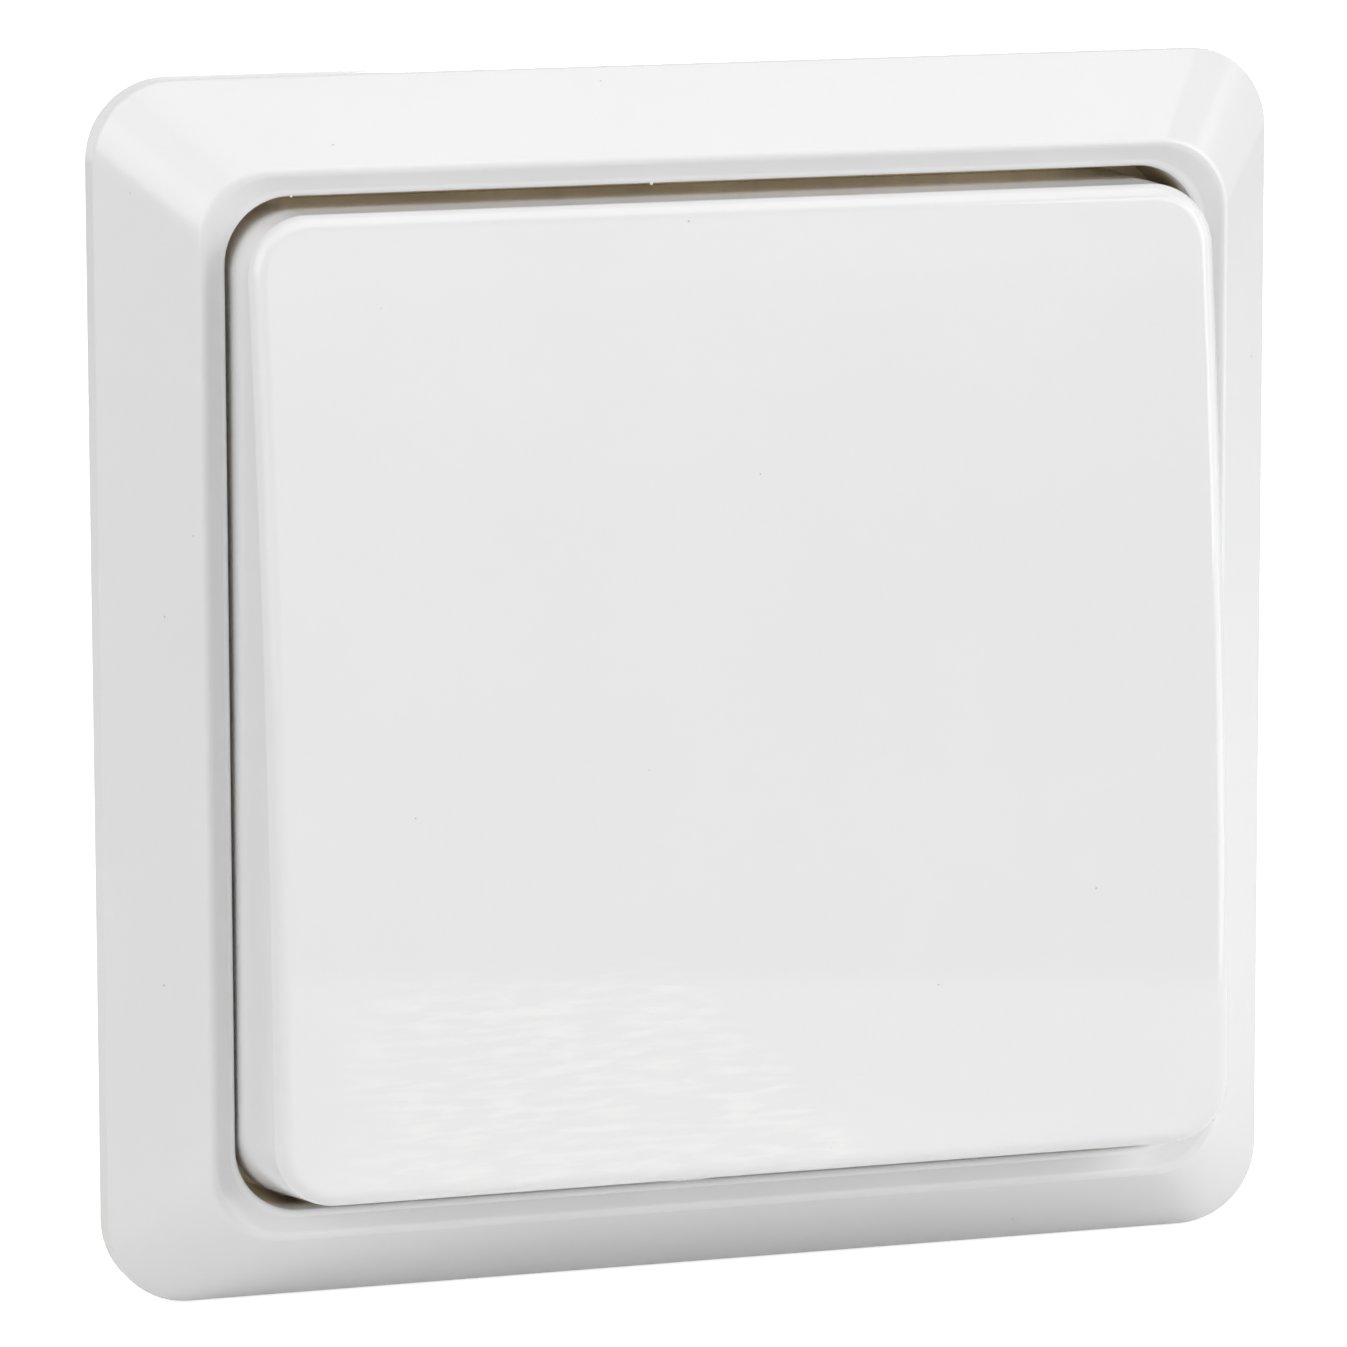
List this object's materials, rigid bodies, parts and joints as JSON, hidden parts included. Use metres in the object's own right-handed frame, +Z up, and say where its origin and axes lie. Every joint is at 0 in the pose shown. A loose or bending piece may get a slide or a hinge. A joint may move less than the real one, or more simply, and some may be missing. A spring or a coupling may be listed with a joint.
{
  "type": "light switch",
  "caption": "Flush-mounted rocker light switch: square white frame with sloping faces, large domed rocker, and an insert with contacts, claws and wire clamps behind.",
  "frame": {"origin": "middle of the wall box's screw pattern, on the wall's face, which is the ring's rear face", "axes": "+X to the right seen from the room, +Y into the wall, +Z up"},
  "size_m": [0.08, 0.0419, 0.08],
  "materials": {
    "frame_white": "high gloss white moulding",
    "rocker_white": "high gloss white moulding",
    "zinc_steel": "zinc-plated pressed sheet",
    "screw_steel": "zinc-plated, turned",
    "insert_grey": "matt light grey moulding",
    "cover_grey": "matt mid grey moulding",
    "cradle_white": "matt white moulding",
    "rivet_metal": "plain, upset heads",
    "plunger_grey": "smooth low-friction moulding",
    "spring_steel": "bare spring steel",
    "contact_brass": "stamped strip",
    "contact_silver": "silver contact rivet",
    "button_orange": "satin moulding"
  },
  "bodies": {
    "housing": {"cover_frame": "frame_white", "support_ring": "zinc_steel", "insert_cover": "insert_grey", "insert_base": "insert_grey", "rear_cover": "cover_grey", "ring_rivets": "rivet_metal", "common_terminal": "contact_brass", "upper_terminal": "contact_brass", "lower_terminal": "contact_brass", "fixed_rivets": "contact_silver", "clamp_spring_common": "spring_steel", "clamp_spring_upper": "spring_steel", "clamp_spring_lower": "spring_steel"},
    "rocker": {"rocker_cap": "rocker_white", "rocker_cradle": "cradle_white", "plunger_spring": "spring_steel"},
    "plunger": {"plunger": "plunger_grey"},
    "contact": {"contact_lever": "contact_brass", "lever_rivets": "contact_silver"},
    "button_common": {"release_button_common": "button_orange"},
    "button_upper": {"release_button_upper": "button_orange"},
    "button_lower": {"release_button_lower": "button_orange"},
    "screw_left": {"claw_screw_left": "screw_steel"},
    "claw_left": {"claw_left": "zinc_steel"},
    "screw_right": {"claw_screw_right": "screw_steel"},
    "claw_right": {"claw_right": "zinc_steel"}
  },
  "joints": [
    {"name": "rocker_tilt", "type": "hinge", "parent": "housing", "child": "rocker", "pos_m": [0, -0.006, 0], "axis": [1, 0, 0], "range_deg": [0, 8.8]},
    {"name": "contact_swing", "type": "hinge", "parent": "housing", "child": "contact", "pos_m": [0, 0.011, 0], "axis": [1, 0, 0], "range_deg": [-19.2, 0]},
    {"name": "plunger_slide", "type": "slide", "parent": "rocker", "child": "plunger", "axis": [0, 0.9971, -0.0767], "range_m": [-0.001, 0], "stiffness_N_per_m": 400, "deforming": ["plunger_spring"]},
    {"name": "button_common_press", "type": "slide", "parent": "housing", "child": "button_common", "axis": [0, -1, 0], "range_m": [0, 0.0015], "stiffness_N_per_m": 1500, "deforming": ["clamp_spring_common"]},
    {"name": "button_upper_press", "type": "slide", "parent": "housing", "child": "button_upper", "axis": [0, -1, 0], "range_m": [0, 0.0015], "stiffness_N_per_m": 1500, "deforming": ["clamp_spring_upper"]},
    {"name": "button_lower_press", "type": "slide", "parent": "housing", "child": "button_lower", "axis": [0, -1, 0], "range_m": [0, 0.0015], "stiffness_N_per_m": 1500, "deforming": ["clamp_spring_lower"]},
    {"name": "screw_left_turn", "type": "hinge", "parent": "housing", "child": "screw_left", "pos_m": [-0.0245, 0, -0.009], "axis": [0, 1, 0], "range_deg": [0, 2880]},
    {"name": "claw_left_draw", "type": "slide", "parent": "housing", "child": "claw_left", "axis": [0, -1, 0], "range_m": [0, 0.004]},
    {"name": "screw_right_turn", "type": "hinge", "parent": "housing", "child": "screw_right", "pos_m": [0.0245, 0, 0.009], "axis": [0, 1, 0], "range_deg": [0, 2880]},
    {"name": "claw_right_draw", "type": "slide", "parent": "housing", "child": "claw_right", "axis": [0, -1, 0], "range_m": [0, 0.004]}
  ],
  "couplings": [
    {"joint": "contact_swing", "follows": "rocker_tilt", "ratio": -2.1818},
    {"joint": "screw_left_turn", "follows": "claw_left_draw", "rad_per_m": 12566},
    {"joint": "screw_right_turn", "follows": "claw_right_draw", "rad_per_m": 12566}
  ]
}
